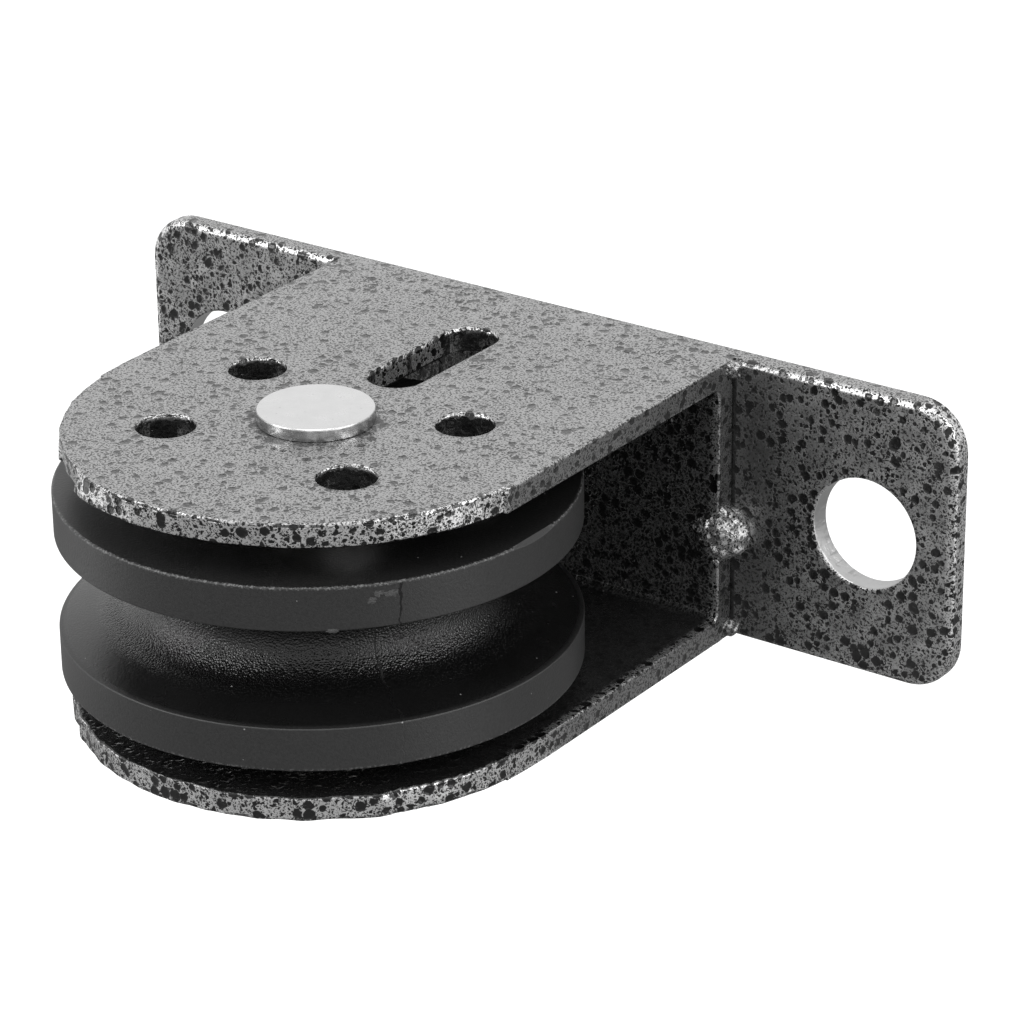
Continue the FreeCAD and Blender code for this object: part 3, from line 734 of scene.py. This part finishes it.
def softened(shape, near, offset):
    """Rounds the square edges that pass the test, as paint does."""
    edges = [edge for edge in shape.edges
             if len(edge.link_faces) == 2 and abs(edge.calc_face_angle() - math.pi / 2) < 0.25
             and all(near(vertex.co) for vertex in edge.verts)]
    bmesh.ops.bevel(shape, geom=edges, offset=offset * MM, offset_type="OFFSET", segments=3, profile=0.5,
                    affect="EDGES", clamp_overlap=True, material=-1)


def on_cheek_face(place):
    level = abs(place.z)
    flat = min(abs(level - CHEEK_TOP), abs(level - CHEEK_TOP + SHEET)) < 0.01 * MM
    return flat and abs(place.x) < CHEEK_HALF_WIDTH - 0.5 * MM and place.y < WEB_FRONT - 2 * MM


def on_bolt_rim(place):
    reach = math.hypot(abs(place.x) - BOLT_REACH, place.z)
    return place.y < PLATE_FRONT + 0.01 * MM and reach < BOLT_RADIUS + 0.1 * MM


def make_painted(name, node, axes, seed, near, offset, reshape):
    """A painted sheet part: the CAD shape with softened edges and the paint's slow ripple on its faces."""
    shape = copied(node)
    bmesh.ops.dissolve_limit(shape, angle_limit=math.radians(0.5), verts=shape.verts, edges=shape.edges)
    softened(shape, near, offset)
    low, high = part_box(node)
    for axis in axes:
        gridded(shape, axis, low[axis], high[axis], 1.1 * MM)
    reshape(shape)
    bmesh.ops.triangulate(shape, faces=shape.faces)
    rippled(shape, 2.2, 0.09, seed)
    return weighted(finished(name, shape, "frame", "hammertone_paint", [node]))


def make_rivet():
    """The axle: a flat bright head with a softened rim, a plain shank and a domed formed end."""
    shank, soft, foot_round = 5.0 * MM, 0.35 * MM, 0.12 * MM
    formed, collar = 7.2 * MM, -CHEEK_TOP - 0.5 * MM
    top, foot = rivet_high.z, rivet_low.z
    head = [(0, top), (HEAD_RADIUS * 0.5, top), (HEAD_RADIUS - soft * 2, top)]
    head += arc((HEAD_RADIUS - soft, top - soft), soft, 90, 0, 5)
    head += arc((HEAD_RADIUS - foot_round, CHEEK_TOP + foot_round), foot_round, 0, -90, 3)
    body = [(shank, CHEEK_TOP), (shank, -CHEEK_TOP), (formed, -CHEEK_TOP), (formed, collar)]
    dome = [(formed * math.cos(turn), collar - (collar - foot) * math.sin(turn))
            for turn in (math.radians(9 * step) for step in range(1, 11))]
    weighted(finished("riveted_axle", spun(head + body + dome, 128), "frame", "plated_axle", ["axle_rivet"]))


def lump(centre, halves, seed, roughness=0.16, rounds=5):
    """A bmesh of one uneven drop of weld."""
    shape = bmesh.new()
    bmesh.ops.create_icosphere(shape, subdivisions=rounds, radius=1.0)
    for vertex in shape.verts:
        swell = noise.fractal(vertex.co * 2.6 + Vector((seed, 0, 0)), 1.0, 2.0, 2)
        vertex.co *= 1 - roughness * (0.5 + swell)
    bmesh.ops.scale(shape, vec=halves, verts=shape.verts)
    bmesh.ops.translate(shape, vec=centre, verts=shape.verts)
    return shape


def joined(shapes):
    """One bmesh that holds all the given ones."""
    whole = bmesh.new()
    for shape in shapes:
        mesh = bpy.data.meshes.new("part")
        shape.to_mesh(mesh)
        shape.free()
        whole.from_mesh(mesh)
        bpy.data.meshes.remove(mesh)
    return whole


def make_welds():
    """The tack welds at the web's side edges and at the bends' ends, and the beads along both bends."""
    tack_low, tack_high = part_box("side_tack_welds")
    up = (tack_low.z + tack_high.z) / 2
    tacks = []
    for side in (-1, 1):
        place = Vector((side * (TACK.x - 0.5 * MM), TACK.y, up + 0.3 * MM))
        tacks.append(lump(place, Vector((4.2, 4.1, 4.0)) * MM, 3.1 + side, 0.14))
    for side in (-1, 1):
        drip = Vector((side * (CHEEK_HALF_WIDTH - 0.3 * MM), WEB_FRONT, up - 3.9 * MM))
        tacks.append(lump(drip, Vector((0.6, 0.5, 0.8)) * MM, side, 0.1, 3))
    finished("side_tacks", joined(tacks), "frame", "hammertone_paint", ["side_tack_welds"])
    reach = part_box("corner_tack_welds")[1]
    small = Vector((1.7, 1.6, 1.5)) * MM
    corners = []
    for side in (-1, 1):
        for level in (-1, 1):
            for drop, share in ((0, 1.0), (1.3, 0.6)):
                place = Vector((side * (reach.x - small.x - drop * 0.5 * MM),
                                PLATE_FRONT - (0.2 + drop) * MM,
                                level * (reach.z - small.z - drop * 0.2 * MM)))
                corners.append(lump(place, small * share, side * 2.3 + level * 5.7 + drop, 0.16, 4))
    finished("corner_tacks", joined(corners), "frame", "hammertone_paint", ["corner_tack_welds"])
    make_seam("upper_seam_bead", 1)
    make_seam("lower_seam_bead", -1)


# A seam bead's height above the cheek in millimetres, by the share of its width from front to back.
SEAM_CREST = ((0, -0.04), (0.22, 0.02), (0.36, 0.14), (0.5, 0.02), (0.72, 0.06), (0.9, 0.03), (1, -0.06))


def make_seam(name, level):
    """The weld and its paint along a bend, flowing from the cheek's flat onto the plate's edge."""
    back, front, thick = PLATE_FRONT + 2.6 * MM, WEB_FRONT - 2.6 * MM, 0.9 * MM
    shape = bmesh.new()
    bmesh.ops.create_grid(shape, x_segments=110, y_segments=18, size=1.0)
    for vertex in shape.verts:
        share = (vertex.co.y + 1) / 2
        x = vertex.co.x * (CHEEK_HALF_WIDTH - 0.15 * MM)
        y = front + (back - front) * share
        lumps = noise.fractal(Vector((x, y, 7 * level * MM)) / (1.6 * MM), 1.0, 2.0, 3) * 0.10
        inward = ramp(((0, 0.0), (0.15, 1.0), (0.85, 1.0), (1, 0.0)), share)
        ends = ramp(((0, 0.0), (0.96, 0.0), (1, -0.25)), abs(vertex.co.x))
        rise = ramp(SEAM_CREST, share) + lumps * inward + ends
        vertex.co = Vector((x, y, level * (CHEEK_TOP + rise * MM)))
    bmesh.ops.recalc_face_normals(shape, faces=shape.faces)
    if shape.faces[0].normal.z * level < 0:
        bmesh.ops.reverse_faces(shape, faces=shape.faces)
    bmesh.ops.solidify(shape, geom=shape.faces, thickness=thick)
    bmesh.ops.recalc_face_normals(shape, faces=shape.faces)
    finished(name, shape, "frame", "hammertone_paint", smooth_below=60)


# ---- the whole --------------------------------------------------------------------------------

FINISHES = {
    "hammertone_paint": hammertone_paint(),
    "black_nylon": black_nylon(),
    "plated_axle": plated_axle(),
    "zinc_bush": turned_steel("zinc_bush", 0.5, 0.66, 0.3, 0.3, (1.0, 0.99, 0.95)),
    "bearing_steel": turned_steel("bearing_steel", 0.5, 0.62, 0.18, 0.15),
    "ball_steel": turned_steel("ball_steel", 0.75, 0.82, 0.05, 0.5),
    "cage_strip": turned_steel("cage_strip", 0.42, 0.56, 0.32, 0.4, (1.0, 0.95, 0.86)),
    "shield_strip": turned_steel("shield_strip", 0.52, 0.68, 0.22, 0.35),
}


def dress_cad_nodes():
    """Every CAD node takes its slot's finish."""
    for part in frame["record"]["subparts"]:
        mesh = nodes[part["node"]].data
        mesh.materials.clear()
        mesh.materials.append(FINISHES[part["material_slot"]])


dress_cad_nodes()
make_camera()
make_studio()
make_wheel()
make_painted("wall_plate", "mounting_plate", (0, 2), 11.0, on_bolt_rim, 0.5, eased)
make_painted("bent_bracket", "pulley_bracket", (0, 1, 2), 4.0, on_cheek_face, 0.38, sheared)
make_rivet()
make_welds()
